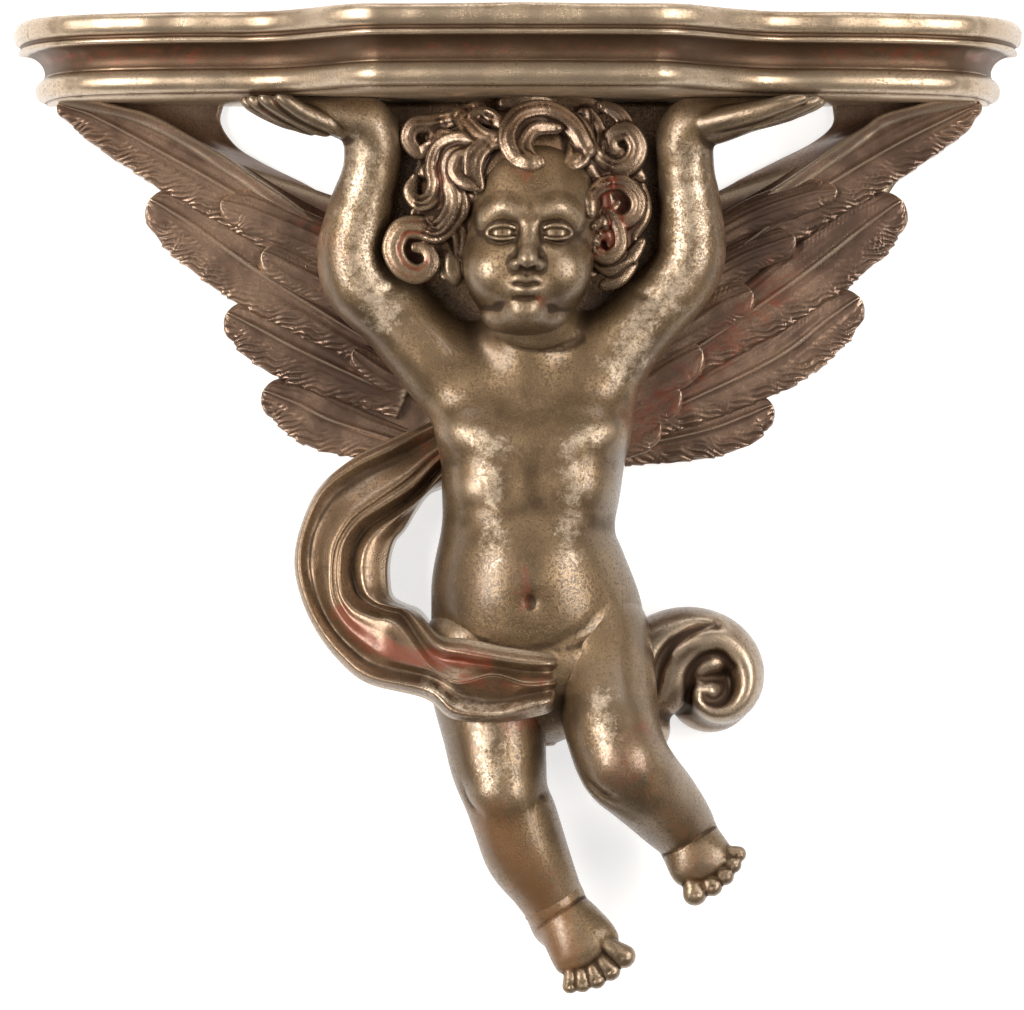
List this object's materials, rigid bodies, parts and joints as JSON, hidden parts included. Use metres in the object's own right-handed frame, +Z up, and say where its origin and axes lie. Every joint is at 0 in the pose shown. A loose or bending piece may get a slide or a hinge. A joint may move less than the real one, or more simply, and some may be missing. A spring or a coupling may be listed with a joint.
{
  "type": "figure wall corbel",
  "caption": "Wall bracket with a serpentine moulded shelf carried by a winged putto in a looping scarf, in worn champagne-silver leaf.",
  "frame": {"origin": "middle of the shelf's back face, where it meets the wall, halfway up its thickness", "axes": "+Z up, +Y into the wall, +X to the viewer's right; the front faces -Y"},
  "size_m": [0.46, 0.122, 0.433],
  "materials": {
    "leafed_resin": "cast resin in champagne-silver metal leaf over red bole, rubbed, speckled and toned brown"
  },
  "bodies": {
    "root": {"shelf": "leafed_resin", "winged_figure": "leafed_resin"}
  },
  "joints": []
}
